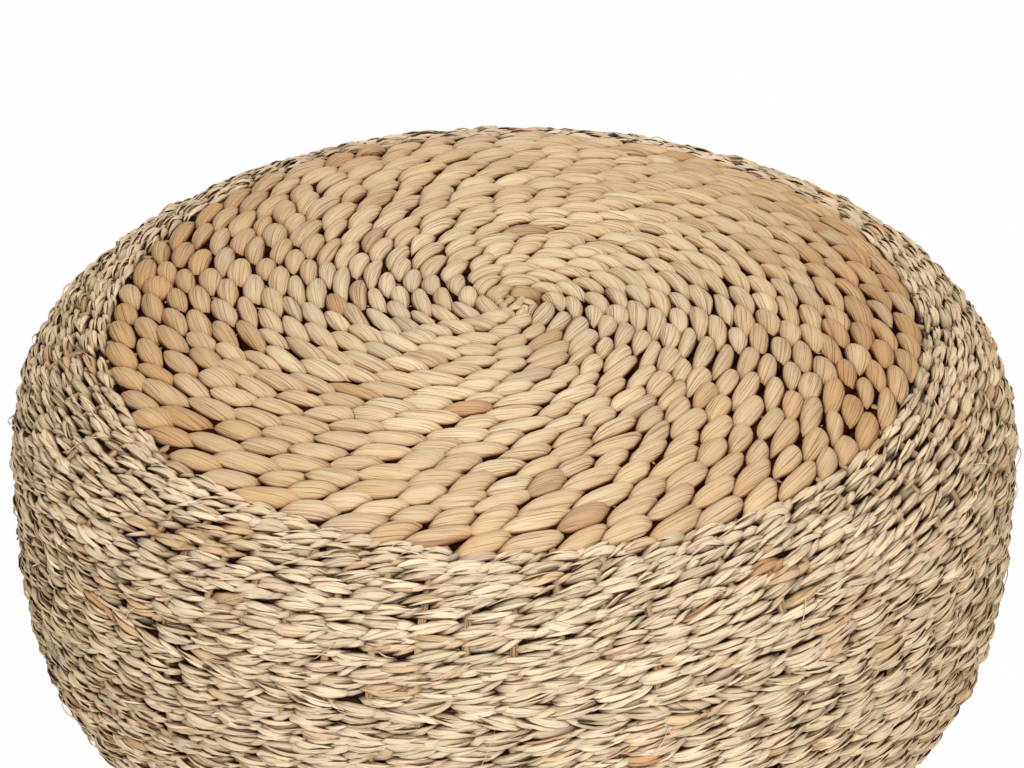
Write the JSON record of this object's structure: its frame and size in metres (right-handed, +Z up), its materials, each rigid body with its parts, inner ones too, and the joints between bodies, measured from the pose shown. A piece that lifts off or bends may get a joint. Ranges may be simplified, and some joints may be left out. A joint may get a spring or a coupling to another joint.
{
  "type": "woven pouf stool",
  "caption": "Round woven floor pouf with a flattened-stalk spiral top, a twined seagrass side and a stuffed cloth bag inside, for sitting on.",
  "frame": {"origin": "middle of the flat underside, on the floor", "axes": "+Z up along the pouf's axis of revolution; +X and +Y in the floor, with the camera of the picture towards -Y"},
  "size_m": [0.5598, 0.5598, 0.267],
  "materials": {
    "hyacinth": "satin",
    "warp_cord": "matte",
    "seagrass": "matte",
    "lining_cloth": "matte",
    "wadding": "matte",
    "foam": "matte"
  },
  "bodies": {
    "root": {"hyacinth_coil": "hyacinth", "centre_knot": "hyacinth", "warp_long_under_1": "warp_cord", "warp_long_under_2": "warp_cord", "warp_long_under_3": "warp_cord", "warp_long_under_4": "warp_cord", "warp_long_under_5": "warp_cord", "warp_long_over_1": "warp_cord", "warp_long_over_2": "warp_cord", "warp_long_over_3": "warp_cord", "warp_long_over_4": "warp_cord", "warp_inner_hairpin_1": "warp_cord", "warp_inner_hairpin_2": "warp_cord", "warp_inner_hairpin_3": "warp_cord", "warp_inner_hairpin_4": "warp_cord", "warp_inner_hairpin_5": "warp_cord", "warp_inner_hairpin_6": "warp_cord", "warp_inner_hairpin_7": "warp_cord", "warp_inner_hairpin_8": "warp_cord", "warp_inner_hairpin_9": "warp_cord", "warp_outer_hairpin_1": "warp_cord", "warp_outer_hairpin_2": "warp_cord", "warp_outer_hairpin_3": "warp_cord", "warp_outer_hairpin_4": "warp_cord", "warp_outer_hairpin_5": "warp_cord", "warp_outer_hairpin_6": "warp_cord", "warp_outer_hairpin_7": "warp_cord", "warp_outer_hairpin_8": "warp_cord", "warp_outer_hairpin_9": "warp_cord", "warp_outer_hairpin_10": "warp_cord", "warp_outer_hairpin_11": "warp_cord", "warp_outer_hairpin_12": "warp_cord", "warp_outer_hairpin_13": "warp_cord", "warp_outer_hairpin_14": "warp_cord", "warp_outer_hairpin_15": "warp_cord", "warp_outer_hairpin_16": "warp_cord", "warp_outer_hairpin_17": "warp_cord", "warp_outer_hairpin_18": "warp_cord", "side_weave": "seagrass", "base_weave": "seagrass", "bag_top_cloth": "lining_cloth", "bag_side_cloth": "lining_cloth", "bag_base_cloth": "lining_cloth", "wadding_top": "wadding", "wadding_side": "wadding", "foam_slab_1": "foam", "foam_slab_2": "foam", "foam_slab_3": "foam"}
  },
  "joints": []
}
